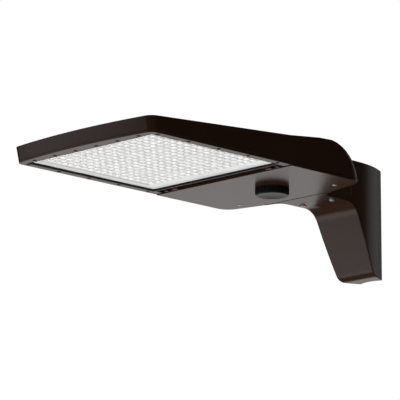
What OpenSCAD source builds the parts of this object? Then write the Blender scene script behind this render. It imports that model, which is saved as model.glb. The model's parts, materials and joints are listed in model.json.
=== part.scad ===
// Shoebox area light with a pole arm.
// X runs across the light, Y from the front edge to the pole, Z up. The origin is the middle of the
// two pole bolts, on the bottom of the round seat that lies against the pole.
// Modules draw in the lamp's own frame: Y from the front edge, Z from the underside.

/* [Housing] */
// Width across the underside
body_w = 320; // [290:1:350]
// Length from the front edge to the rear edge
body_len = 546; // [536:1:566]
// Height of the front edge
front_h = 27; // [25:0.5:32]
// Height of the sides at their tallest
side_h = 56; // [54:0.5:59]
// Distance from the rear edge to the crest of the sides
crest_back = 136; // [128:1:150]
// Length of the steep rise in front of the crest
rise_len = 84; // [70:1:110]
// Height of the sides where they steepen
break_h = 47.4; // [45:0.2:49]
// How far the front edge bows forward in the middle
front_bow = 11.7; // [4:0.1:16]
// Angle by which the walls lean outwards
draft = 10; // [6:0.5:12]
// Angle by which the rear edges sweep forward to the sides
rear_sweep = 12.4; // [6:0.2:16]
// Angle by which the rear face leans forward
rear_lean = 10.2; // [6:0.2:14]
// How far the rear face rolls forward at the top
rear_roll = 66; // [54:1:72]
// Radius of the front corners in plan
front_r = 12; // [8:1:18]
// Radius of the rear corners in plan
rear_r = 25; // [15:1:32]
// Wall thickness of the casting
wall = 3.5; // [3:0.1:4.5]
// Thickness of the base that carries the light board
base_t = 5; // [4:0.5:7]
// Thickness of a cooling fin
fin_t = 3; // [2:0.5:5]
// Distance from fin to fin
fin_pitch = 17; // [14:1:22]

/* [Light window] */
// Distance from the front edge to the window
window_y = 24; // [20:1:32]
// Length of the window
window_len = 294; // [280:1:300]
// Width of the frame beside the window
rim_w = 14; // [12:0.5:24]
// Thickness of the frame below the housing
frame_t = 3.6; // [3:0.1:5]
// Thickness of the moulded window
lens_t = 3; // [2:0.1:4]
// How far the window laps over its frame
lens_lap = 2.5; // [2:0.1:2.6]
// Width of the frame behind the window
rail_w = 3; // [2.6:0.1:4]
// Thickness of the window seal
seal_t = 1.5; // [1:0.1:2]
// Thickness of the light board
board_t = 1.6; // [1.2:0.1:2]
// Radius of the heads of the frame screws
screw_head_r = 2.6; // [2:0.1:3]
// Distance from screw to screw along the front of the frame
screw_step = 49; // [44:1:52]

/* [Air slot and door] */
// Length of the slot between the light and the door
slot_len = 19; // [18:0.5:22]
// Distance from the sides of the underside to the ends of the slot
slot_rim = 17; // [15:0.5:24]
// Distance from the rear edge to the seam between door and arm
seam_back = 18.2; // [16:0.2:24]
// Thickness of the door
door_t = 3; // [2.5:0.1:4]
// How far the door stands below the frame
door_proud = 1.2; // [0.6:0.1:2]
// Gap round the edges of the door
door_gap = 0.6; // [0.4:0.1:1]
// Height of the hinge above the underside of the frame
hinge_z = 6; // [5.5:0.1:7]
// Radius of the hinge pins
pin_r = 2; // [1.5:0.1:2.2]
// Wall of the hinge knuckles round the pins
knuckle_wall = 2; // [1.5:0.1:2.5]
// Radial play of the hinge
pin_play = 0.06; // [0.03:0.01:0.1]
// Width of a hinge lug
lug_w = 30; // [26:1:34]
// Width of the opening in a hinge lug
lug_hole = 11; // [8:0.5:12]
// Distance from the ends of the slot to the hinge lugs
lug_gap = 9; // [6:0.5:12]
// Distance from the sides of the underside to the door screws
door_screw_in = 49; // [42:1:58]
// Distance from the seam to the door screws
door_screw_back = 31; // [28:1:36]

/* [Control cap] */
// Distance of the cap to the right of the centreline
cap_x = 18.5; // [0:0.5:40]
// Distance from the slot to the middle of the cap
cap_back = 100; // [94:1:110]
// Diameter of the cap
cap_d = 58.5; // [50:0.5:60]
// Height of the cap
cap_h = 13; // [10:0.5:18]
// Gap between the cap and the door
cap_gap = 0.3; // [0.2:0.05:0.5]
// Diameter of the socket face in the door
socket_d = 43; // [40:0.5:45]
// Depth of the socket behind the door
socket_h = 18; // [14:0.5:20]
// Angle through which the cap twists
cap_turn = 20; // [15:1:25]

/* [Electrical parts] */
// Length of the driver
driver_l = 210; // [180:1:230]
// Width of the driver
driver_w = 50; // [40:1:52]
// Height of the driver
driver_h = 28; // [22:1:30]

/* [Arm] */
// Length from the neck to the pole end
arm_len = 103; // [98:1:112]
// Width of the arm beside the housing
arm_w = 97; // [90:1:104]
// Height of the pole end of the arm
arm_h = 196; // [180:1:205]
// Height of the underside of the housing above the middle of the pole end
under_z = 25.5; // [20:0.5:30]
// Length of the neck behind the rear edge
neck_len = 64; // [58:1:66]
// Thickness of the seal between neck and arm
neck_seal_t = 1; // [0.6:0.1:1.5]
// Distance from the neck to the corner below it
elbow_step = 6.6; // [4:0.2:10]
// Thickness of the tongue below the neck
tongue_t = 12; // [10:0.5:16]
// Lean of the front of the arm from upright
arm_lean = 25.2; // [20:0.2:28]
// Radius below the tongue
bend_r = 36; // [28:1:42]
// Radius at the foot of the arm
foot_r = 18; // [12:1:22]
// Distance from the neck to where the sides start to curve in
side_step = 12; // [8:1:20]
// Radius by which the sides curve in towards the pole
side_r = 190; // [180:1:230]
// Wall thickness of the arm
arm_wall = 5; // [4:0.5:7]
// Concave radius in the corners between neck and housing
neck_fillet = 18; // [12:1:22]
// Distance between the two arm bolts
arm_bolt_gap = 68; // [60:1:72]
// Distance from the neck end to the arm bolts
arm_bolt_back = 36; // [30:1:44]

/* [Pole mount] */
// Diameter of the pole that the seat fits
pole_d = 101.6; // [100:0.2:127]
// Depth of the round seat at the middle of the arm
seat_depth = 6; // [4:0.2:6.2]
// Distance between the two pole bolts
pole_bolt_gap = 120; // [90:1:140]
// Radius of the tapped holes for the pole bolts
pole_bolt_r = 4.25; // [3.3:0.05:5]
// Radius of the cable hole
cable_r = 11; // [8:0.5:14]

/* [Hidden] */

bronze = [0.22, 0.18, 0.15];
bronze_light = [0.42, 0.38, 0.35];
clear = [0.93, 0.95, 0.96];
steel = [0.72, 0.73, 0.75];
black = [0.08, 0.08, 0.08];
seal_grey = [0.25, 0.25, 0.26];
board_white = [0.95, 0.95, 0.93];
brass = [0.8, 0.65, 0.3];

// Main places along the light, measured back from its front edge
far = body_len + arm_h;
half_w = body_w / 2;
crest_y = body_len - crest_back;
break_y = crest_y - rise_len;
seam_y = body_len - seam_back;
neck_y = body_len + neck_len;
elbow_y = neck_y + elbow_step;
side_y = neck_y + side_step;
reach = neck_y + arm_len;
seat_y = reach - seat_depth;

// Housing
nose_len = 20;
crest_ease = 13;
crest_drop = 1;
spine_step = 10;
spine_len = 100;
roll_h = side_h + 1;
loft_steps = [0.18, 0.36, 0.54, 0.68, 0.8, 0.9, 0.97];
past = 1;

// Light section, upwards from the underside
window_w = body_w - 2 * rim_w;
window_mid = window_y + window_len / 2;
slot_y = window_y + window_len + rail_w;
slot_end = slot_y + slot_len;
slot_w = body_w - 2 * slot_rim;
seal_z = frame_t + lens_t;
ledge_z = seal_z + seal_t;
pocket_h = 3.4;
base_z = ledge_z + pocket_h;
fin_z = base_z + base_t;
slot_roof = fin_z + 6;
lens_play = 0.3;
lens_w = window_w + 2 * lens_lap;
lens_len = window_len + 2 * lens_lap;
seal_w = 5;
inner_w = lens_w - 2 * seal_w;
inner_len = lens_len - 2 * seal_w;
groove_w = fin_pitch - fin_t;
groove_y = 12;
groove_count = floor((slot_w - groove_w) / 2 / fin_pitch);
board_play = 1;
board_w = inner_w - 2 * board_play;
board_len = inner_len - 2 * board_play;
board_screw_in = 8;
board_screw_r = 1.6;
board_head_r = 2.8;
board_head_h = 1.4;

// Screws of the frame
thread_r = 1.6;
screw_r = 2;
head_h = 1;
frame_screw_in = 6.5;
frame_screw_len = 6;
side_screw_in = 7;
side_screws = 5;
rim_mid = half_w - rim_w / 2;

// Hinge
hinge_y = slot_y + 10;
knuckle_r = pin_r + knuckle_wall;
ear_t = 4;
ear_gap = 0.4;
ear_foot = 2;
ear_len = 9;
pin_seat = 3;
lug_out = slot_w / 2 - lug_gap;
lug_in = lug_out - lug_w;
lug_bar = 12.5;
ear_x = lug_in - ear_gap - ear_t / 2;

// Door. The frame stops short of it so that its edge can swing down.
frame_stop = 2.8;
door_lap = 0.7;
door_y = slot_end - door_lap;
door_end = seam_y - door_gap;
door_screw_x = half_w - door_screw_in;
door_screw_y = seam_y - door_screw_back;
door_screw_len = 10;
door_head_r = 3.8;
door_head_h = 2.3;
door_head_out = 0.8;
door_head_low = -door_proud - door_head_out;
door_head_top = door_head_low + door_head_h;
door_seal_w = 2.5;
door_seal_in = 0.6;
seam_gap = 0.2;

// Socket and cap
cap_y = slot_end + cap_back;
socket_r = socket_d / 2;
socket_play = 0.3;
flange_t = 2.5;
flange_r = socket_r + 7;
socket_seal_t = 1;
socket_floor = door_t + socket_seal_t;
socket_screw_r = socket_r + 4;
socket_thread_r = 1.2;
socket_head_r = 2.2;
socket_head_h = 1.5;
slot_r = 12;
slot_grow = 3;
slot_depth = 13;
blade_t = 1.6;
blade_arc = 14;
blade_h = 11;
cap_r = cap_d / 2;
cap_low = -door_proud - cap_gap - cap_h;
cap_rim = 4.5;
cap_dish = 1.8;
cap_edge_r = 2.4;
cap_recess = 2;
grip_count = 24;
grip_w = 1.8;
grip_t = 0.8;
grip_low = 2.6;

// Parts in the compartment
compartment_y = slot_end + 5;
driver_y = compartment_y + 3;
driver_mid = driver_y + driver_w / 2;
driver_z = 14;
driver_top = driver_z + driver_h;
tab_l = 12;
tab_w = 26;
tab_t = 2;
tab_x = (driver_l + tab_l) / 2;
tab_head_r = 3.6;
box_y = (driver_y + driver_w + seam_y) / 2 - 10;
box_x = 100;
box_top = 42;
pad_l = 36;
pad_w = 40;
surge = [32, 36, 22];
terminal = [32, 18, 16];
terminal_r = 2.4;
terminal_pitch = 10;
earth_y = driver_y + driver_w + 15;
earth_head_r = 3.8;
small_head_h = 2.4;
small_boss_r = 5;
door_boss_r = 6;
arm_boss_r = 7;
boss_depth = 8;

// Arm
arm_half = arm_w / 2;
neck_top = arm_h / 2 - under_z;
foot_z = -arm_h / 2 - under_z;
arm_under = -1.5;
end_t = seat_depth + 9;
bend_turn = 90 - arm_lean;
foot_y = elbow_y + (arm_under - foot_z) * tan(arm_lean);
wall_slant = arm_wall / cos(arm_lean);
foot_step = 8;
arm_bolt_r = 3;
arm_bolt_play = 0.4;
arm_bolt_len = 14.5;
arm_bolt_y = neck_y - arm_bolt_back;
bolt_head_r = 5.5;
bolt_head_h = 4.5;
bolt_head_z = 0.5;
spot_r = 6.4;
mouth_w = arm_w - 36;
mouth_z = tongue_t + 10;
mouth_h = neck_top - mouth_z - 14;
seal_edge = 1.5;
pole_r = pole_d / 2;

// Puts the lamp's own frame where the pole bolts want it
module place() {
    translate([0, -seat_y, under_z]) children();
}

// A block from one corner to the other
module block(from, to) {
    translate(from) cube(to - from);
}

// A block by the middle of its underside and its size
module brick(x, y, z, size) {
    translate([x - size[0] / 2, y - size[1] / 2, z]) cube(size);
}

// An upright round bar
module post(x, y, z0, z1, r) {
    translate([x, y, z0]) cylinder(h = z1 - z0, r = r, $fn = 48);
}

// A profile in Y and Z, drawn out across the light
module across(w) {
    rotate([90, 0, 90]) linear_extrude(height = w, center = true) children();
}

// Points along an arc from one angle to another
function arc(x, y, r, a0, a1, n) =
    [for (i = [0 : n]) let (a = a0 + (a1 - a0) * i / n) [x + r * cos(a), y + r * sin(a)]];

// Right half of the plan outline of the housing. off is how far the walls have leaned out, back how
// far the rear has come forward, inset the distance inside the skin and end where the neck stops.
function frontY(x, off) = front_bow * pow(x / half_w, 2) - off;
function rightHalf(off, back, inset, end) =
    let (w = half_w + off - inset)
    let (r = front_r + off - inset)
    let (tilt = atan(2 * front_bow * (w - r) / (half_w * half_w)))
    let (px = w - r + r * sin(tilt))
    let (cy = frontY(px, off - inset) + r * cos(tilt))
    let (rr = rear_r - inset)
    let (rx = w - rr)
    let (len = body_len - back - inset / cos(rear_sweep))
    let (ry = len - rx * tan(rear_sweep) - rr / cos(rear_sweep))
    let (nr = neck_fillet + inset)
    let (nx = arm_half - inset + nr)
    let (ny = len - nx * tan(rear_sweep) + nr / cos(rear_sweep))
    concat(
        [for (i = [1 : 8]) [px * i / 8, frontY(px * i / 8, off - inset)]],
        arc(w - r, cy, r, tilt - 90 + (90 - tilt) / 8, 0, 7),
        arc(rx, ry, rr, 0, 90 - rear_sweep, 8),
        arc(nx, ny, nr, 270 - rear_sweep, 180, 6),
        [[arm_half - inset, end]]
    );
function outline(off, back, inset, end) =
    let (right = rightHalf(off, back, inset, end))
    let (n = len(right))
    concat([[0, inset - off]], right, [for (i = [n - 1 : -1 : 0]) [-right[i][0], right[i][1]]]);

// How far the rear face has come forward at a height
function rearBack(z) =
    let (roll = 1 - sqrt(max(0, 1 - pow(z / roll_h, 2))))
    z * tan(rear_lean) + rear_roll * roll;

// A closed solid through the outlines at each height in the list
module loft(heights, inset, end) {
    rings = [for (z = heights) outline(z * tan(draft), rearBack(max(z, 0)), inset, end)];
    n = len(rings[0]);
    last = len(heights) - 1;
    points = [for (k = [0 : last]) for (p = rings[k]) [p[0], p[1], heights[k]]];
    sides = [for (k = [0 : last - 1]) for (i = [0 : n - 1]) for (upper = [0, 1])
        let (a = k * n + i)
        let (b = k * n + (i + 1) % n)
        upper == 0 ? [a, a + n, b] : [b, a + n, b + n]];
    caps = [[for (i = [0 : n - 1]) i], [for (i = [n - 1 : -1 : 0]) last * n + i]];
    polyhedron(points, concat(caps, sides));
}

// Side view of the top surface, from the thin front edge to the crest
module topLine(drop) {
    polygon([
        [-far, -far],
        [-far, front_h - drop],
        [nose_len, front_h - drop],
        [break_y, break_h - drop],
        [crest_y - crest_ease, side_h - crest_drop - drop],
        [crest_y + crest_ease, side_h - drop],
        [far, side_h - drop],
        [far, -far]
    ]);
}

// Side view of the spine that leads from the crest to the neck
module spineLine(drop) {
    y = crest_y + spine_step;
    polygon([
        [y, tongue_t],
        [y, side_h - 2 * drop],
        [y + spine_len, neck_top - drop],
        [neck_y, neck_top - drop],
        [neck_y, tongue_t]
    ]);
}

// The housing as if it were solid, or its inside when given a wall thickness
module body(inset, low) {
    end = neck_y - neck_seal_t + inset;
    heights = concat([low], [for (step = loft_steps) step * side_h], [side_h + past / 2]);
    intersection() {
        union() {
            intersection() {
                loft(heights, inset, end);
                across(far) topLine(inset);
            }
            across(arm_w - 2 * inset) spineLine(inset);
        }
        block([-far, -far, -far], [far, end, far]);
    }
}

// ---- Housing ----
module housing() {
    color(bronze) place() difference() {
        union() {
            difference() {
                body(0, frame_t);
                lightPocket();
                airSlot();
                intersection() {
                    body(wall, frame_t - past);
                    block([-far, compartment_y, -far], [far, neck_y + past, far]);
                }
                block([-far, seam_y - seam_gap, -far], [far, far, tongue_t]);
            }
            intersection() {
                body(0, frame_t);
                mountings();
            }
            hingeEars();
        }
        pinHoles();
        screwHoles();
        frameScrewHoles(thread_r, frame_t - past, frame_t + frame_screw_len + past);
    }
}

module lightPocket() {
    w = lens_w / 2 + lens_play;
    block([-w, window_mid - lens_len / 2 - lens_play, 0], [w, slot_y + past, ledge_z]);
    block([-inner_w / 2, window_mid - inner_len / 2, 0], [inner_w / 2, window_mid + inner_len / 2, base_z]);
}

// The slot lets air rise between the light section and the door, and on through the fins
module airSlot() {
    block([-slot_w / 2, slot_y, 0], [slot_w / 2, slot_end, slot_roof]);
    for (i = [-groove_count : groove_count]) {
        x = i * fin_pitch;
        block([x - groove_w / 2, groove_y + frontY(x, 0), fin_z], [x + groove_w / 2, slot_end, far]);
    }
}

module pinHoles() {
    translate([0, hinge_y, hinge_z]) across(slot_w + 2 * pin_seat) circle(r = pin_r, $fn = 32);
}

// Ears that hold the inner ends of the pins
module hingeEars() {
    for (side = [-1, 1]) {
        translate([side * ear_x, 0, 0]) across(ear_t) {
            polygon([
                [slot_y - ear_foot, ledge_z],
                [slot_y - ear_foot, slot_roof],
                [slot_y + ear_len, slot_roof],
                [hinge_y + knuckle_r, hinge_z],
                [hinge_y - knuckle_r, hinge_z],
                [slot_y, ledge_z]
            ]);
            translate([hinge_y, hinge_z]) circle(r = knuckle_r, $fn = 32);
        }
    }
}

// Bosses and pads that hang from the inside of the roof
module mountings() {
    for (side = [-1, 1]) {
        post(side * door_screw_x, door_screw_y, frame_t, far, door_boss_r);
        post(side * arm_bolt_gap / 2, arm_bolt_y, tongue_t, far, arm_boss_r);
        post(side * tab_x, driver_mid, driver_top, far, small_boss_r);
        brick(side * box_x, box_y, box_top, [pad_l, pad_w, far]);
    }
    post(0, earth_y, box_top, far, small_boss_r);
}

module screwHoles() {
    for (side = [-1, 1]) {
        post(side * door_screw_x, door_screw_y, 0, frame_t + door_screw_len + past, screw_r + 0.5);
        post(side * arm_bolt_gap / 2, arm_bolt_y, 0, bolt_head_z + tongue_t + arm_bolt_len, arm_bolt_r);
        post(side * tab_x, driver_mid, 0, driver_top + boss_depth, screw_r);
    }
    post(0, earth_y, 0, box_top + boss_depth, screw_r);
}

// ---- Light section ----
module lens_frame() {
    color(bronze_light) place() difference() {
        intersection() {
            loft([0, frame_t], 0, neck_y);
            block([-far, -far, -far], [far, slot_end - frame_stop, far]);
        }
        brick(0, window_mid, -far, [window_w, window_len, 2 * far]);
        block([-slot_w / 2, slot_y, -far], [slot_w / 2, far, far]);
        frameScrewHoles(screw_r, -far, far);
        frameScrewHoles(screw_head_r + 0.1, -far, head_h);
    }
}

// Runs along the front and both sides of the frame
module frameScrewHoles(r, z0, z1) {
    for (i = [-2.5 : 1 : 2.5]) {
        post(i * screw_step, window_y - frame_screw_in, z0, z1, r);
    }
    for (side = [-1, 1]) {
        for (i = [0 : side_screws - 1]) {
            y = window_y + side_screw_in + i * (window_len - 2 * side_screw_in) / (side_screws - 1);
            post(side * rim_mid, y, z0, z1, r);
        }
    }
}

module frame_screws() {
    color(black) place() {
        frameScrewHoles(thread_r, head_h, frame_t + frame_screw_len);
        frameScrewHoles(screw_head_r, 0.2, head_h);
    }
}

module lens() {
    color(clear) place() brick(0, window_mid, frame_t, [lens_w, lens_len, lens_t]);
}

module lens_seal() {
    color(seal_grey) place() difference() {
        brick(0, window_mid, seal_z, [lens_w, lens_len, seal_t]);
        brick(0, window_mid, 0, [inner_w, inner_len, far]);
    }
}

module boardScrews(r, z0, z1) {
    for (sx = [-1, 0, 1]) {
        for (sy = [-1, 1]) {
            x = sx * (board_w / 2 - board_screw_in);
            post(x, window_mid + sy * (board_len / 2 - board_screw_in), z0, z1, r);
        }
    }
}

module light_board() {
    color(board_white) place() difference() {
        brick(0, window_mid, base_z - board_t, [board_w, board_len, board_t]);
        boardScrews(board_screw_r, 0, far);
    }
}

module board_screws() {
    color(steel) place() {
        boardScrews(board_screw_r, base_z - board_t, base_z);
        boardScrews(board_head_r, base_z - board_t - board_head_h, base_z - board_t);
    }
}

// ---- Hinge ----
module hinge_pins() {
    inner = ear_x - ear_t / 2;
    color(steel) place() for (side = [-1, 1]) {
        translate([side * inner, hinge_y, hinge_z]) rotate([0, side * 90, 0])
            cylinder(h = slot_w / 2 + pin_seat - inner, r = pin_r, $fn = 32);
    }
}

// ---- Door ----
module door() {
    color(bronze_light) place() difference() {
        union() {
            intersection() {
                loft([-door_proud, door_t], 0, neck_y);
                block([-far, door_y, -far], [far, door_end, far]);
            }
            for (side = [-1, 1]) {
                translate([side * (lug_in + lug_w / 2), 0, 0]) hingeLug(side);
            }
        }
        post(cap_x, cap_y, -far, far, socket_r + socket_play);
        for (side = [-1, 1]) {
            post(side * door_screw_x, door_screw_y, -far, far, screw_r + 0.1);
            post(side * door_screw_x, door_screw_y, -far, door_head_top, door_head_r + 0.4);
        }
        socketScrews(socket_thread_r, -far, far);
    }
}

// Two bars that curl up round the pin, with an opening between them
module hingeLug(side) {
    r = knuckle_r;
    hole = side * (lug_bar + lug_hole / 2 - lug_w / 2);
    difference() {
        across(lug_w) difference() {
            union() {
                translate([hinge_y, hinge_z]) circle(r = r, $fn = 32);
                polygon([
                    [hinge_y - 0.75 * r, hinge_z - 0.65 * r],
                    [hinge_y + 0.4 * r, 0],
                    [door_y + r, 0],
                    [door_y + r, door_t],
                    [hinge_y + 1.5 * r, door_t],
                    [hinge_y + 0.9 * r, hinge_z]
                ]);
            }
            translate([hinge_y, hinge_z]) circle(r = pin_r + pin_play, $fn = 32);
        }
        block([hole - lug_hole / 2, hinge_y - 2 * r, -far], [hole + lug_hole / 2, door_y - 1.5, far]);
    }
}

module door_seal() {
    inner = door_seal_in + door_seal_w;
    color(seal_grey) place() difference() {
        intersection() {
            loft([door_t, frame_t - 0.1], door_seal_in, neck_y);
            block([-far, slot_end + 1, -far], [far, door_end - 1, far]);
        }
        intersection() {
            loft([0, frame_t + past], inner, neck_y);
            block([-far, slot_end + 1 + inner, -far], [far, door_end - 1 - inner, far]);
        }
    }
}

module door_screws() {
    color(steel) place() for (side = [-1, 1]) {
        post(side * door_screw_x, door_screw_y, door_head_low, door_head_top, door_head_r);
        post(side * door_screw_x, door_screw_y, door_head_low + head_h, frame_t + door_screw_len, screw_r);
    }
}

// ---- Socket and cap ----
module socketScrews(r, z0, z1) {
    for (a = [45 : 90 : 315]) {
        post(cap_x + socket_screw_r * cos(a), cap_y + socket_screw_r * sin(a), z0, z1, r);
    }
}

// Three curved blades, or the slots that they turn in
module blades(grow, wide, turn, h) {
    for (a = [0, 120, 240]) {
        rotate(a - grow) rotate_extrude(angle = blade_arc + turn + 2 * grow, $fn = 60)
            translate([slot_r - blade_t / 2 - wide, 0]) square([blade_t + 2 * wide, h]);
    }
}

module socket() {
    color(black) place() difference() {
        union() {
            post(cap_x, cap_y, -door_proud, socket_floor, socket_r);
            post(cap_x, cap_y, socket_floor, socket_floor + flange_t, flange_r);
            post(cap_x, cap_y, socket_floor, socket_floor + socket_h, socket_r + 1);
        }
        translate([cap_x, cap_y, -door_proud - past]) blades(slot_grow, 0.5, cap_turn, slot_depth + past);
        socketScrews(socket_thread_r, -far, far);
    }
}

module socket_seal() {
    color(seal_grey) place() difference() {
        post(cap_x, cap_y, door_t, socket_floor, flange_r - 0.5);
        post(cap_x, cap_y, 0, far, socket_r + socket_play);
        socketScrews(socket_thread_r + 0.2, -far, far);
    }
}

module socket_screws() {
    top = socket_floor + flange_t;
    color(steel) place() {
        socketScrews(socket_thread_r, 0, top);
        socketScrews(socket_head_r, top, top + socket_head_h);
    }
}

// The lower face is dished inside a round rim, and the grip has a rib every few degrees
module cap() {
    side = cap_r - grip_t;
    dish_r = cap_r - cap_rim;
    color(black) place() translate([cap_x, cap_y, cap_low]) difference() {
        union() {
            rotate_extrude($fn = 96) polygon(concat(
                [[0, cap_dish], [0.5 * dish_r, 0.75 * cap_dish], [0.8 * dish_r, 0.36 * cap_dish], [dish_r, 0]],
                arc(side - cap_edge_r, cap_edge_r, cap_edge_r, -90, 0, 4),
                [[side, cap_h], [0, cap_h]]
            ));
            for (i = [0 : grip_count - 1]) {
                rotate(i * 360 / grip_count) translate([side - past, -grip_w / 2, grip_low])
                    cube([grip_t + past, grip_w, cap_h - grip_low]);
            }
        }
        translate([0, 0, cap_h - cap_recess]) difference() {
            cylinder(h = cap_h, r = cap_r - 3, $fn = 64);
            cylinder(h = cap_h, r = slot_r + 4, $fn = 64);
        }
    }
}

module cap_blades() {
    color(brass) place() translate([cap_x, cap_y, -door_proud - cap_gap]) rotate(cap_turn)
        blades(0, 0, 0, blade_h);
}

// ---- Parts in the compartment ----
module driver() {
    color(steel) place() difference() {
        union() {
            brick(0, driver_mid, driver_z, [driver_l, driver_w, driver_h]);
            brick(0, driver_mid, driver_top - tab_t, [driver_l + 2 * tab_l, tab_w, tab_t]);
        }
        for (side = [-1, 1]) {
            post(side * tab_x, driver_mid, 0, far, screw_r + 0.2);
        }
    }
}

module driver_screws() {
    low = driver_top - tab_t;
    color(steel) place() for (side = [-1, 1]) {
        post(side * tab_x, driver_mid, low, driver_top + boss_depth - 2, screw_r);
        post(side * tab_x, driver_mid, low - small_head_h, low, tab_head_r);
    }
}

module surge_module() {
    color(black) place() brick(-box_x, box_y, box_top - surge[2], surge);
}

module terminal_block() {
    low = box_top - terminal[2];
    color(board_white) place() difference() {
        brick(box_x, box_y, low, terminal);
        for (i = [-1 : 1]) {
            post(box_x + i * terminal_pitch, box_y, 0, low + terminal[2] / 2, terminal_r);
        }
    }
}

module earth_screw() {
    color(brass) place() {
        post(0, earth_y, box_top, box_top + boss_depth - 1, screw_r);
        post(0, earth_y, box_top - small_head_h, box_top, earth_head_r);
    }
}

// ---- Arm ----
function slopeY(z) = elbow_y + (arm_under - z) * tan(arm_lean);

module armSide() {
    bend_t = bend_r * tan(bend_turn / 2);
    foot_t = foot_r * tan(bend_turn / 2);
    polygon(concat(
        [[neck_y - neck_len, arm_under]],
        arc(elbow_y - bend_t, arm_under - bend_r, bend_r, 90, 90 - bend_turn, 16),
        arc(foot_y + foot_t, foot_z + foot_r, foot_r, 180 + arm_lean, 270, 10),
        [[reach, foot_z], [reach, neck_top], [neck_y, neck_top], [neck_y, tongue_t]],
        [[neck_y - neck_len, tongue_t]]
    ));
}

// The wireway, from behind the neck down to the foot
module armInside() {
    y = neck_y + arm_wall;
    low = foot_z + arm_wall;
    polygon([
        [y, neck_top - arm_wall],
        [reach - end_t, neck_top - arm_wall],
        [reach - end_t, low],
        [slopeY(low) + wall_slant + foot_step / 2, low],
        [slopeY(low + foot_step) + wall_slant, low + foot_step],
        [y, arm_under - (y - wall_slant - elbow_y) / tan(arm_lean)]
    ]);
}

// Plan of the arm: straight beside the neck, then both sides curve in towards the pole
module armPlan(inset) {
    straight = side_y - seam_y;
    translate([-arm_half + inset, seam_y]) square([arm_w - 2 * inset, straight]);
    intersection() {
        translate([arm_half - side_r, side_y]) circle(r = side_r - inset, $fn = 180);
        translate([side_r - arm_half, side_y]) circle(r = side_r - inset, $fn = 180);
        translate([-arm_half, side_y - past]) square([arm_w, side_r]);
    }
}

module arm() {
    color(bronze) place() difference() {
        union() {
            intersection() {
                across(arm_w + 2 * past) armSide();
                translate([0, 0, -far]) linear_extrude(height = 2 * far) armPlan(0);
            }
            intersection() {
                loft([arm_under, tongue_t], 0, neck_y);
                block([-far, seam_y, -far], [far, neck_y, far]);
            }
        }
        intersection() {
            across(arm_w) armInside();
            translate([0, 0, -far]) linear_extrude(height = 2 * far) armPlan(arm_wall);
        }
        translate([0, seat_y + pole_r, foot_z - past]) cylinder(h = arm_h + 2 * past, r = pole_r, $fn = 128);
        brick(0, neck_y + arm_wall / 2, mouth_z, [mouth_w, arm_wall + 2 * past, mouth_h]);
        for (side = [-1, 1]) {
            post(side * arm_bolt_gap / 2, arm_bolt_y, -far, far, arm_bolt_r + arm_bolt_play);
            post(side * arm_bolt_gap / 2, arm_bolt_y, -far, bolt_head_z, spot_r);
            poleHole(side * pole_bolt_gap / 2, pole_bolt_r);
        }
        poleHole(0, cable_r);
    }
}

module poleHole(z, r) {
    translate([0, reach - end_t - past, z - under_z]) rotate([-90, 0, 0])
        cylinder(h = end_t + 2 * past, r = r, $fn = 48);
}

module arm_bolts() {
    color(steel) place() for (side = [-1, 1]) {
        post(side * arm_bolt_gap / 2, arm_bolt_y, bolt_head_z, tongue_t + arm_bolt_len, arm_bolt_r);
        post(side * arm_bolt_gap / 2, arm_bolt_y, bolt_head_z - bolt_head_h, bolt_head_z, bolt_head_r);
    }
}

module neck_seal() {
    color(seal_grey) place() difference() {
        block([-arm_half + 1, neck_y - neck_seal_t, tongue_t], [arm_half - 1, neck_y, neck_top - 1]);
        block([-mouth_w / 2, seam_y, tongue_t + seal_edge], [mouth_w / 2, neck_y + 1, mouth_z + mouth_h]);
    }
}

housing();
lens_frame();
frame_screws();
lens();
lens_seal();
light_board();
board_screws();
hinge_pins();
driver();
driver_screws();
surge_module();
terminal_block();
earth_screw();
arm();
arm_bolts();
neck_seal();
door();
door_seal();
door_screws();
socket();
socket_seal();
socket_screws();
cap();
cap_blades();
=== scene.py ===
import json
import math

import bmesh
import bpy
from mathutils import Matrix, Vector


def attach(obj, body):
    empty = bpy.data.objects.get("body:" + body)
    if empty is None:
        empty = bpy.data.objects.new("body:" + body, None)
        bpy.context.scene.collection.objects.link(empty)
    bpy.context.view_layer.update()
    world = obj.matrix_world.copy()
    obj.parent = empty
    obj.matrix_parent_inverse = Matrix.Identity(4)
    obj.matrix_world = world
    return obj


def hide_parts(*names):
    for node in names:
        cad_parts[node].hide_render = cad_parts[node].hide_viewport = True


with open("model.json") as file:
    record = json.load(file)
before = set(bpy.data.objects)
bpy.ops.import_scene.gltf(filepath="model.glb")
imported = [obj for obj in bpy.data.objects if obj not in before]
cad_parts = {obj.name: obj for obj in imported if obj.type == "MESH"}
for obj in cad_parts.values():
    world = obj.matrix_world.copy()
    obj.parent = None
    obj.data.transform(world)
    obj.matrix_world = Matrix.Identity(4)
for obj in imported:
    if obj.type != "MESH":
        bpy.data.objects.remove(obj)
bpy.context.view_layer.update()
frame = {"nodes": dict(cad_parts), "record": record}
nodes = frame["nodes"]
scene = bpy.context.scene
mm = 0.001
seatPlace = 707  # from the front edge of the light to the pole seat
undersideHeight = 25.5  # of the light's underside above the middle of the pole end
print("frame loaded")


def lampPoint(x, back, up):
    # from the light's own millimetres (back from the front edge, up from the underside) to the frame
    return Vector((x * mm, (back - seatPlace) * mm, (up + undersideHeight) * mm))


# The photograph's own place and long lens
cameraSettings = {
    "place": (4.0484, -4.5422, -1.3143),  # in metres
    "turn": 45.49,  # in degrees, from the right side towards the front
    "tilt": 12.649,  # in degrees, upwards
    "lens": 317.07,
    "sensor": 36,
    "reach": (0.1, 60),
}


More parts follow.
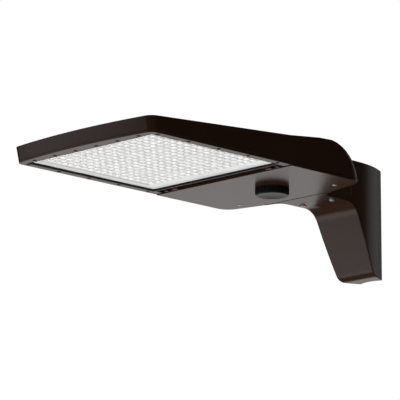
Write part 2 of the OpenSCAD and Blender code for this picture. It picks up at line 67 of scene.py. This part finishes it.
def makeCamera(s):
    data = bpy.data.cameras.new("camera")
    data.lens = s["lens"]
    data.sensor_width = s["sensor"]
    data.clip_start, data.clip_end = s["reach"]
    camera = bpy.data.objects.new("camera", data)
    scene.collection.objects.link(camera)
    turn, tilt = math.radians(s["turn"]), math.radians(s["tilt"])
    ahead = Vector((-math.cos(turn) * math.cos(tilt), math.sin(turn) * math.cos(tilt), math.sin(tilt)))
    camera.rotation_mode = "QUATERNION"
    camera.rotation_quaternion = ahead.to_track_quat("-Z", "Y")
    camera.location = s["place"]
    scene.camera = camera


makeCamera(cameraSettings)
scene.view_settings.view_transform = "Standard"
print("camera placed")


# Materials: each reads Object coordinates, with a broad change of tone and a fine grain
def addNode(tree, kind, **values):
    node = tree.nodes.new(kind)
    for name, value in values.items():
        key = name.replace("_", " ")
        if key in node.inputs:
            node.inputs[key].default_value = value
        else:
            setattr(node, name, value)
    return node


def colourMix(tree, low, high):
    # a colour mix whose ends are colours, or sockets to be joined
    mix = addNode(tree, "ShaderNodeMix", data_type="RGBA")
    ends = [socket for socket in mix.inputs if socket.type == "RGBA"]
    for socket, value in zip(ends, (low, high)):
        if isinstance(value, tuple):
            socket.default_value = (*value, 1.0)
        else:
            tree.links.new(value, socket)
    result = [socket for socket in mix.outputs if socket.type == "RGBA"][0]
    return mix.inputs[0], result


def mapRange(tree, value, ends, results=(0, 1)):
    low, high = ends
    least, most = results
    node = addNode(tree, "ShaderNodeMapRange", From_Min=low, From_Max=high, To_Min=least, To_Max=most)
    tree.links.new(value, node.inputs["Value"])
    return node.outputs["Result"]


# What a finish has where it says nothing else
plainFinish = {
    "metal": 0,
    "ior": 1.5,
    "specular": 0.5,
    "solid": 1,  # below 1, what is behind shows through
    "broadScale": 14,
    "broadDetail": 4,
    "broadEnds": (0.35, 0.65),
    "grainScale": 1400,
    "grainDetail": 3,
    "grainEnds": (0.55, 0.75),
    "speckAmount": 0.3,
    "roughSpread": 0.04,
    "bump": 0.15,
    "bumpDepth": 0.0001,
    "edgeSamples": 6,
}


def makeMaterial(name, finish):
    s = {**plainFinish, "speck": finish["light"], **finish}
    material = bpy.data.materials.new(name)
    material.use_nodes = True
    tree = material.node_tree
    tree.nodes.clear()
    link = tree.links.new
    out = addNode(tree, "ShaderNodeOutputMaterial")
    shader = addNode(tree, "ShaderNodeBsdfPrincipled")
    link(shader.outputs["BSDF"], out.inputs["Surface"])
    sockets = {"Metallic": "metal", "IOR": "ior", "Specular IOR Level": "specular", "Alpha": "solid"}
    for socket, key in sockets.items():
        shader.inputs[socket].default_value = s[key]

    where = addNode(tree, "ShaderNodeTexCoord")
    broad = addNode(tree, "ShaderNodeTexNoise", Scale=s["broadScale"], Detail=s["broadDetail"])
    link(where.outputs["Object"], broad.inputs["Vector"])
    toneAmount, tone = colourMix(tree, s["dark"], s["light"])
    link(mapRange(tree, broad.outputs["Fac"], s["broadEnds"]), toneAmount)

    fine = addNode(tree, "ShaderNodeTexNoise", Scale=s["grainScale"], Detail=s["grainDetail"])
    link(where.outputs["Object"], fine.inputs["Vector"])
    grainAmount, surface = colourMix(tree, tone, s["speck"])
    link(mapRange(tree, fine.outputs["Fac"], s["grainEnds"], (0, s["speckAmount"])), grainAmount)

    if "foot" in s:
        # painted shade: darker towards the foot of a shape, by the unshaded share that each of its points
        # carries
        height = addNode(tree, "ShaderNodeAttribute", attribute_name="rise")
        unshadedAmount, surface = colourMix(tree, s["foot"], surface)
        link(mapRange(tree, height.outputs["Fac"], s["footEnds"]), unshadedAmount)
    link(surface, shader.inputs["Base Color"])

    smoothest, roughest = s["rough"] - s["roughSpread"], s["rough"] + s["roughSpread"]
    link(mapRange(tree, broad.outputs["Fac"], (0, 1), (smoothest, roughest)), shader.inputs["Roughness"])

    bump = addNode(tree, "ShaderNodeBump", Strength=s["bump"], Distance=s["bumpDepth"])
    link(fine.outputs["Fac"], bump.inputs["Height"])
    if "edge" in s:
        # a soft round on the edges, of this radius
        soft = addNode(tree, "ShaderNodeBevel", samples=s["edgeSamples"], Radius=s["edge"])
        link(soft.outputs["Normal"], bump.inputs["Normal"])
    link(bump.outputs["Normal"], shader.inputs["Normal"])
    return material


finishes = {
    "bronze_paint": {
        "dark": (0.0215, 0.0095, 0.0055),
        "light": (0.0240, 0.0108, 0.0064),
        "speck": (0.034, 0.020, 0.014),
        "rough": 0.24,
        "roughSpread": 0.015,
        "bump": 0.22,
        "grainScale": 1600,
        "edge": 0.0014,
    },
    "black_steel": {
        "dark": (0.003, 0.003, 0.003),
        "light": (0.006, 0.006, 0.006),
        "rough": 0.55,
        "specular": 0.15,
    },
    "optic_acrylic": {
        "dark": (0.82, 0.82, 0.81),
        "light": (0.92, 0.92, 0.91),
        "rough": 0.12,
        "bump": 0.05,
        "ior": 1.49,
        "solid": 0.86,
    },
    # near black, darker than grey silicone: painted shade along the window's edge
    "grey_silicone": {
        "dark": (0.008, 0.008, 0.008),
        "light": (0.014, 0.014, 0.014),
        "rough": 0.75,
        "specular": 0.2,
    },
    "white_board": {"dark": (0.70, 0.70, 0.67), "light": (0.80, 0.80, 0.78), "rough": 0.35},
    "steel": {
        "dark": (0.62, 0.62, 0.63),
        "light": (0.74, 0.74, 0.75),
        "rough": 0.3,
        "metal": 0.7,
        "edge": 0.0003,
    },
    "driver_case": {
        "dark": (0.60, 0.60, 0.61),
        "light": (0.70, 0.70, 0.71),
        "rough": 0.38,
        "metal": 0.4,
        "edge": 0.0008,
    },
    "black_plastic": {
        "dark": (0.003, 0.003, 0.003),
        "light": (0.006, 0.006, 0.006),
        "rough": 0.36,
        "roughSpread": 0.02,
        "edge": 0.0005,
    },
    "white_plastic": {
        "dark": (0.66, 0.65, 0.60),
        "light": (0.76, 0.75, 0.71),
        "rough": 0.45,
        "edge": 0.0005,
    },
    "brass": {"dark": (0.60, 0.42, 0.14), "light": (0.75, 0.56, 0.24), "rough": 0.3, "metal": 0.6},
}
armFinish = dict(finishes["bronze_paint"], edge=0.0035)  # rounder edges
doorFinish = dict(finishes["bronze_paint"], rough=0.22)  # a little smoother
materials = {name: makeMaterial(name, s) for name, s in finishes.items()}
slotOf = {part["node"]: part["material_slot"] for part in frame["record"]["subparts"]}
for name, obj in nodes.items():
    if not obj.material_slots:
        obj.data.materials.append(None)
    for place in obj.material_slots:
        place.material = materials[slotOf[name]]
nodes["arm"].material_slots[0].material = makeMaterial("armPaint", armFinish)
nodes["door"].material_slots[0].material = makeMaterial("doorPaint", doorFinish)
print("materials made")


# What repeats: one shape set on a grid, or on a list of places
turnSeed = 7  # of the shapes' chance turns


def startTree(name, inputs):
    tree = bpy.data.node_groups.new(name, "GeometryNodeTree")
    tree.interface.new_socket("Geometry", in_out="INPUT", socket_type="NodeSocketGeometry")
    for label, kind in inputs:
        tree.interface.new_socket(label, in_out="INPUT", socket_type="NodeSocket" + kind)
    tree.interface.new_socket("Geometry", in_out="OUTPUT", socket_type="NodeSocketGeometry")
    return tree, addNode(tree, "NodeGroupInput"), addNode(tree, "NodeGroupOutput")


def endTree(tree, start, end, points):
    shape = addNode(tree, "GeometryNodeObjectInfo")
    tree.links.new(start.outputs["Shape"], shape.inputs["Object"])
    put = addNode(tree, "GeometryNodeInstanceOnPoints")
    tree.links.new(points.outputs["Geometry"], put.inputs["Points"])
    tree.links.new(shape.outputs["Geometry"], put.inputs["Instance"])
    turns = addNode(tree, "FunctionNodeRandomValue", data_type="FLOAT")
    turns.inputs["Seed"].default_value = turnSeed
    floats = [socket for socket in turns.inputs if socket.type == "VALUE"]
    floats[0].default_value = 0
    tree.links.new(start.outputs["Turn"], floats[1])
    axis = addNode(tree, "ShaderNodeCombineXYZ")
    value = [socket for socket in turns.outputs if socket.type == "VALUE" and socket.enabled][0]
    tree.links.new(value, axis.inputs["Z"])
    tree.links.new(axis.outputs["Vector"], put.inputs["Rotation"])
    real = addNode(tree, "GeometryNodeRealizeInstances")
    paint = addNode(tree, "GeometryNodeSetMaterial")
    tree.links.new(put.outputs["Instances"], real.inputs["Geometry"])
    tree.links.new(real.outputs["Geometry"], paint.inputs["Geometry"])
    tree.links.new(start.outputs["Finish"], paint.inputs["Material"])
    tree.links.new(paint.outputs["Geometry"], end.inputs["Geometry"])
    return tree


def makeGridTree():
    tree, start, end = startTree(
        "shapesOnGrid",
        (
            ("Columns", "Int"),
            ("Rows", "Int"),
            ("Width", "Float"),
            ("Length", "Float"),
            ("Middle", "Vector"),
            ("Turn", "Float"),
            ("Shape", "Object"),
            ("Finish", "Material"),
        ),
    )
    grid = addNode(tree, "GeometryNodeMeshGrid")
    move = addNode(tree, "GeometryNodeTransform")
    sockets = {"Width": "Size X", "Length": "Size Y", "Columns": "Vertices X", "Rows": "Vertices Y"}
    for label, socket in sockets.items():
        tree.links.new(start.outputs[label], grid.inputs[socket])
    tree.links.new(grid.outputs["Mesh"], move.inputs["Geometry"])
    tree.links.new(start.outputs["Middle"], move.inputs["Translation"])
    return endTree(tree, start, end, move)


def makePlacesTree():
    inputs = (("Turn", "Float"), ("Shape", "Object"), ("Finish", "Material"))
    tree, start, end = startTree("shapesOnPlaces", inputs)
    return endTree(tree, start, end, start)


gridTree = makeGridTree()
placesTree = makePlacesTree()


def meshObject(name, points, faces):
    mesh = bpy.data.meshes.new(name)
    mesh.from_pydata([tuple(p) for p in points], [], faces)
    mesh.update()
    obj = bpy.data.objects.new(name, mesh)
    scene.collection.objects.link(obj)
    return obj


def spread(name, tree, carrier, values, body):
    # runs the tree on its carrier and keeps the result as a plain mesh
    modifier = carrier.modifiers.new("spread", "NODES")
    modifier.node_group = tree
    for item in tree.interface.items_tree:
        if item.in_out == "INPUT" and item.name in values:
            modifier[item.identifier] = values[item.name]
    graph = bpy.context.evaluated_depsgraph_get()
    mesh = bpy.data.meshes.new_from_object(carrier.evaluated_get(graph))
    mesh.name = name
    piece = bpy.data.objects.new(name, mesh)
    scene.collection.objects.link(piece)
    carrier.modifiers.remove(modifier)
    bpy.data.objects.remove(carrier)
    bpy.data.objects.remove(values["Shape"])
    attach(piece, body)
    return piece


def turnOutward(obj):
    shell = bmesh.new()
    shell.from_mesh(obj.data)
    bmesh.ops.recalc_face_normals(shell, faces=shell.faces)
    shell.to_mesh(obj.data)
    shell.free()


def ringWalls(rings, sides):
    # the faces between each ring of points and the next
    faces = []
    for k in range(rings - 1):
        for i in range(sides):
            j = (i + 1) % sides
            faces.append((k * sides + i, k * sides + j, (k + 1) * sides + j, (k + 1) * sides + i))
    return faces


def turnedShape(name, rings, sides):
    # rings of (radius, height, corners): corners 0 is round, 6 is a hexagon of that half width
    points = []
    for radius, height, corners in rings:
        for i in range(sides):
            angle = 2 * math.pi * i / sides
            r = radius
            if corners:
                part = 2 * math.pi / corners
                r = radius / math.cos((angle % part) - part / 2)
            points.append((r * math.cos(angle) * mm, r * math.sin(angle) * mm, height * mm))
    faces = ringWalls(len(rings), sides)
    faces.append(tuple(range(sides - 1, -1, -1)))
    faces.append(tuple(range(len(points) - sides, len(points))))
    obj = meshObject(name, points, faces)
    turnOutward(obj)
    return obj


# The optics: a close field of clear domes, on a plate that stands a little proud of the window
windowSettings = {
    "face": 3.6,  # height of the window's lower face
    "middle": (9, 160.5),
    "columns": 17,
    "rows": 16,
    "pitch": (15, 15.6),
    "dome": (13.6, 13.2, 2.7),
    # share of a dome's width, share of its height, and its roundness, where 1 is a circle
    "domeRings": ((1.0, -0.3, 0.6), (1.0, 0, 0.6), (0.86, 0.5, 0.75), (0.52, 0.86, 0.9), (0.16, 1.0, 1.0)),
    "domeSides": 12,
    "lean": 1.6,  # how far the tops of the domes lean back
    "plateDrop": 0.8,
    "plateEdge": (13, 4),  # width of the plate's slope on its far side, and elsewhere
    # share of the slope's width, share of its height, and how much of the plate's own colour shows there,
    # where less is more painted shade
    "plateRings": ((1, 0, 0.55), (0.5, 0.5, 0), (0, 1, 1)),
    "chip": (2.6, 0.7),
    "chipSoft": 0.8,  # share of the chip's size and height where its top edge slopes in
    "chipSides": 8,
    "boardFace": 9.9,
}
opticFinish = {
    "dark": (0.74, 0.74, 0.73),
    "light": (0.97, 0.97, 0.96),
    "foot": (0.34, 0.34, 0.335),  # painted shade at the foot of each dome, between the domes
    "footEnds": (0.0, 0.4),
    # painted shade: grey specks over the domes, in place of the dark marks that the clear optics show
    "speck": (0.40, 0.40, 0.40),
    "speckAmount": 0.8,
    "grainScale": 260,
    "broadScale": 160,
    "rough": 0.12,
    "bump": 0.05,
    "ior": 1.49,
    "solid": 0.94,
}
plateFinish = {
    "dark": (0.70, 0.70, 0.69),
    "light": (0.90, 0.90, 0.89),
    "broadScale": 90,
    # painted shade on the plate's sloping edge, darkest halfway along the slope
    "foot": (0.45, 0.45, 0.445),
    "footEnds": (0.0, 1.0),
    "rough": 0.12,
    "bump": 0.05,
    "ior": 1.49,
}
chipFinish = {"dark": (0.62, 0.52, 0.16), "light": (0.78, 0.68, 0.28), "rough": 0.3, "bump": 0.05}


def gridValues(s, up, shape, finish):
    return {
        "Columns": s["columns"],
        "Rows": s["rows"],
        "Width": (s["columns"] - 1) * s["pitch"][0] * mm,
        "Length": (s["rows"] - 1) * s["pitch"][1] * mm,
        "Middle": tuple(lampPoint(*s["middle"], up)),
        "Turn": 0.0,
        "Shape": shape,
        "Finish": finish,
    }


def setUnshadedShare(obj, values):
    height = obj.data.attributes.new("rise", "FLOAT", "POINT")
    for i, value in enumerate(values):
        height.data[i].value = value


def makeDome(s):
    # a rounded square at the foot, round and leaning at the top; its open foot lies inside the plate
    wide, deep, high = s["dome"]
    sides = s["domeSides"]
    points, rise = [], []
    for size, up, roundness in s["domeRings"]:
        lean = s["lean"] * max(up, 0)
        for i in range(sides):
            angle = 2 * math.pi * (i + 0.5) / sides
            x, y = (math.copysign(abs(v) ** roundness, v) for v in (math.cos(angle), math.sin(angle)))
            points.append((x * size * wide / 2 * mm, (y * size * deep / 2 + lean) * mm, -up * high * mm))
            # painted shade: the share is 0 at the dome's foot and 1 at its top
            rise.append(max(up, 0))
    faces = ringWalls(len(s["domeRings"]), sides)
    faces.append(tuple(range(len(points) - sides, len(points))))
    dome = meshObject("dome", points, faces)
    turnOutward(dome)
    setUnshadedShare(dome, rise)
    dome.data.shade_smooth()
    return dome


def makeOptics(s):
    carrier = meshObject("opticsGrid", [(0, 0, 0)], [])
    values = gridValues(s, s["face"] - s["plateDrop"], makeDome(s), makeMaterial("opticDomes", opticFinish))
    spread("window_optics", gridTree, carrier, values, "lamp")


def makePlate(s):
    far, near = s["plateEdge"]
    x, y = s["middle"]
    w = s["columns"] * s["pitch"][0] / 2
    h = s["rows"] * s["pitch"][1] / 2
    points, rise = [], []
    for width, up, clear in s["plateRings"]:
        left, right = x - w - far * width, x + w + near * width
        front, rear = y - h - near * width, y + h + near * width
        for px, py in ((left, front), (right, front), (right, rear), (left, rear)):
            points.append(lampPoint(px, py, s["face"] - s["plateDrop"] * up))
            # painted shade: the slope carries less of the plate's own colour
            rise.append(clear)
    faces = ringWalls(len(s["plateRings"]), 4)
    faces += [(8, 9, 10, 11), (0, 1, 2, 3)]  # the plate's own face, and its back on the window
    plate = meshObject("window_plate", points, faces)
    turnOutward(plate)
    setUnshadedShare(plate, rise)
    plate.data.materials.append(makeMaterial("windowPlate", plateFinish))
    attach(plate, "lamp")


def makeChips(s):
    size, high = s["chip"]
    soft = s["chipSoft"]
    rings = [(size / 2, 0, 4), (size / 2, -high * soft, 4), (size / 2 * soft, -high, 4)]
    chip = turnedShape("chip", rings, s["chipSides"])
    carrier = meshObject("chipGrid", [(0, 0, 0)], [])
    values = gridValues(s, s["boardFace"], chip, makeMaterial("chipFinish", chipFinish))
    spread("light_chips", gridTree, carrier, values, "lamp")


# A near-black lining over the inner wall of the frame's opening: a dark sheet painted in for the shade on
# that wall
shadeLiningSettings = {"sides": (-146.7, 146.7), "ends": (23.3, 318.7), "heights": (-0.1, 3.55), "thick": 1.2}


def makeShadeLining(s):
    (x0, x1), (y0, y1), t = s["sides"], s["ends"], s["thick"]
    ring = ((x0, y0), (x1, y0), (x1, y1), (x0, y1))
    inside = ((x0 + t, y0 + t), (x1 - t, y0 + t), (x1 - t, y1 - t), (x0 + t, y1 - t))
    points = [lampPoint(x, y, z) for z in s["heights"] for x, y in ring + inside]
    faces = []
    for i in range(4):
        j = (i + 1) % 4
        # lower, upper, outer and inner side, each between two of the four rings of points
        for one, other in ((0, 4), (8, 12), (0, 8), (4, 12)):
            faces.append((i + one, j + one, j + other, i + other))
    shadeLining = meshObject("window_gasket", points, faces)
    turnOutward(shadeLining)
    shadeLining.data.materials.append(materials["grey_silicone"])
    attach(shadeLining, "lamp")


makeShadeLining(shadeLiningSettings)
makePlate(windowSettings)
makeOptics(windowSettings)
makeChips(windowSettings)
print("window optics and chips made")


# Screws and bolts, each a turned shape with its socket and thread, set on the CAD's own places
threadSettings = {
    "crest": 0.3,  # share of the pitch
    "root": 0.65,  # share of the pitch
    "tip": 0.6,  # height of the slope at the thread's end
    "tipRadius": 0.7,  # share of the radius
    "sides": 24,
}


def threadRings(s, radius, low, high, pitch, depth):
    rings, z = [], low
    while z < high - pitch:
        rings.append((radius, z, 0))
        rings.append((radius, z + s["crest"] * pitch, 0))
        rings.append((radius - depth, z + s["root"] * pitch, 0))
        z += pitch
    return rings + [(radius, high - s["tip"], 0), (radius * s["tipRadius"], high, 0)]


# "thread" is the radius, the first and last height, the pitch and the depth
doorScrewSettings = {
    "places": [(-111, 496.8), (111, 496.8)],
    "rings": [
        (1.55, -0.7, 6),
        (1.55, -1.9, 6),
        (1.8, -2.0, 0),
        (3.0, -2.0, 0),
        (3.6, -1.75, 0),
        (3.8, -1.3, 0),
        (3.8, 0.3, 0),
        (2.0, 0.3, 0),
    ],
    "thread": (2.0, 3.0, 13.6, 0.8, 0.25),
}
armBoltSettings = {
    "places": [(-34, 574), (34, 574)],
    "rings": [
        (2.2, -2.2, 6),
        (2.2, -3.8, 6),
        (2.5, -4.0, 0),
        (3.9, -4.0, 0),
        (4.4, -3.6, 0),
        (4.4, -0.8, 0),
        (5.4, -0.6, 0),
        (5.5, 0.5, 0),
        (3.0, 0.5, 0),
    ],
    "thread": (3.0, 12.5, 26.5, 1.0, 0.35),
}
frameScrewRows = {
    "front": 17.5,
    "frontPitch": 49,
    "frontCount": 6,
    "side": 153,
    "sideStart": 31,
    "sidePitch": 70,
    "sideCount": 5,
}


def frameScrewPlaces(s):
    middle = (s["frontCount"] - 1) / 2
    front = [((step - middle) * s["frontPitch"], s["front"]) for step in range(s["frontCount"])]
    backs = [s["sideStart"] + s["sidePitch"] * step for step in range(s["sideCount"])]
    return front + [(side * s["side"], back) for side in (-1, 1) for back in backs]


frameScrewSettings = {
    "places": frameScrewPlaces(frameScrewRows),
    "rings": [
        (1.3, 0.6, 6),
        (1.3, -0.2, 6),
        (1.6, -0.3, 0),
        (3.3, -0.3, 0),
        (3.7, -0.1, 0),
        (3.7, 0.1, 0),
        (2.6, 0.4, 0),
        (2.6, 1.0, 0),
        (1.6, 1.0, 0),
    ],
    "thread": (1.6, 4.0, 9.6, 0.7, 0.2),
}


def makeScrews(name, node, s, body, slot):
    rings = s["rings"] + threadRings(threadSettings, *s["thread"])
    shape = turnedShape(name + "Shape", rings, threadSettings["sides"])
    carrier = meshObject(name + "Places", [lampPoint(x, back, 0) for x, back in s["places"]], [])
    values = {"Turn": 1.0, "Shape": shape, "Finish": materials[slot]}
    piece = spread(name, placesTree, carrier, values, body)
    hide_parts(node)


makeScrews("door_screw_set", "door_screws", doorScrewSettings, "door", "steel")
makeScrews("arm_bolt_set", "arm_bolts", armBoltSettings, "lamp", "steel")
makeScrews("frame_screw_set", "frame_screws", frameScrewSettings, "lamp", "black_steel")
print("screws made")


# Stage and light
stageSettings = {
    "floor": -6.5,
    "floorSize": 160,
    "floorColour": (0.3, 0.3, 0.3, 1),
    "pale": 0.8,  # how much brighter the floor looks to the camera
    "white": 1.0,  # the background that the camera sees
    "dim": 0.01,  # the background that lights the object
}
white = (1, 1, 1, 1)


def backdropShare(tree):
    # 1 for the rays that show the pale background: the camera's own, also through clear parts
    path = addNode(tree, "ShaderNodeLightPath")
    share = addNode(tree, "ShaderNodeMath", operation="MAXIMUM")
    tree.links.new(path.outputs["Is Camera Ray"], share.inputs[0])
    tree.links.new(path.outputs["Is Transmission Ray"], share.inputs[1])
    return share.outputs[0]


def makeFloor(s):
    h = s["floorSize"] / 2
    z = s["floor"]
    floor = meshObject("floor", [(-h, -h, z), (h, -h, z), (h, h, z), (-h, h, z)], [(0, 1, 2, 3)])
    material = bpy.data.materials.new("floor")
    material.use_nodes = True
    tree = material.node_tree
    tree.nodes.clear()
    out = addNode(tree, "ShaderNodeOutputMaterial")
    plain = addNode(tree, "ShaderNodeBsdfDiffuse", Color=s["floorColour"])
    glow = addNode(tree, "ShaderNodeEmission", Color=white)
    seen = addNode(tree, "ShaderNodeMath", operation="MULTIPLY")
    seen.inputs[1].default_value = s["pale"]
    both = addNode(tree, "ShaderNodeAddShader")
    tree.links.new(backdropShare(tree), seen.inputs[0])
    tree.links.new(seen.outputs[0], glow.inputs["Strength"])
    tree.links.new(plain.outputs[0], both.inputs[0])
    tree.links.new(glow.outputs[0], both.inputs[1])
    tree.links.new(both.outputs[0], out.inputs["Surface"])
    floor.data.materials.append(material)


def makeWorld(s):
    world = bpy.data.worlds.new("studio")
    scene.world = world
    world.use_nodes = True
    tree = world.node_tree
    tree.nodes.clear()
    out = addNode(tree, "ShaderNodeOutputWorld")
    seen = addNode(tree, "ShaderNodeBackground", Color=white, Strength=s["white"])
    dim = addNode(tree, "ShaderNodeBackground", Color=white, Strength=s["dim"])
    mix = addNode(tree, "ShaderNodeMixShader")
    tree.links.new(backdropShare(tree), mix.inputs[0])
    tree.links.new(dim.outputs[0], mix.inputs[1])
    tree.links.new(seen.outputs[0], mix.inputs[2])
    tree.links.new(mix.outputs[0], out.inputs["Surface"])


# Panels: name, place, size, how bright the panel looks (1 is white), whether gloss mirrors it
panels = (
    ("farPanel", (-2.6, 2.4, -0.9), (4.0, 2.2), 0.58, True),
    ("belowPanel", (-0.2, -0.4, -2.2), (1.6, 1.6), 4.9, False),
    ("sidePanel", (0.5, -3.2, -2.3), (2.4, 2.4), 4.6, False),
    ("rightPanel", (3.2, -1.0, -1.6), (1.6, 1.6), 0.6, False),
    ("topPanel", (0.2, -0.4, 2.8), (3.4, 3.4), 3.0, False),
    ("ceilingPanel", (0.2, 0.6, 3.2), (3.0, 3.0), 0.9, True),
    ("frontPanel", (-2.4, -3.0, 0.6), (2.4, 1.6), 0.60, True),
    ("armPanel", (-1.9, -1.4, -1.5), (1.2, 1.2), 1.0, True),
    ("backPanel", (0.6, 3.0, 0.6), (1.2, 1.6), 0.31, True),
    ("rearPanel", (-0.7, 3.6, -0.7), (2.4, 2.4), 2.4, False),
    ("lowBackPanel", (-0.7, 3.0, 0.8), (1.8, 1.6), 0.15, True),
)
panelAim = Vector((0, -0.35, 0))


def makePanel(name, place, size, bright, mirrored):
    data = bpy.data.lights.new(name, "AREA")
    data.shape = "RECTANGLE"
    data.size, data.size_y = size
    data.energy = bright * size[0] * size[1] * math.pi
    light = bpy.data.objects.new(name, data)
    scene.collection.objects.link(light)
    light.location = place
    aim = panelAim - Vector(place)
    light.rotation_mode = "QUATERNION"
    light.rotation_quaternion = aim.to_track_quat("-Z", "Y")
    light.visible_camera = False
    light.visible_glossy = mirrored


makeFloor(stageSettings)
makeWorld(stageSettings)
for panel in panels:
    makePanel(*panel)
print("stage and lights ready")
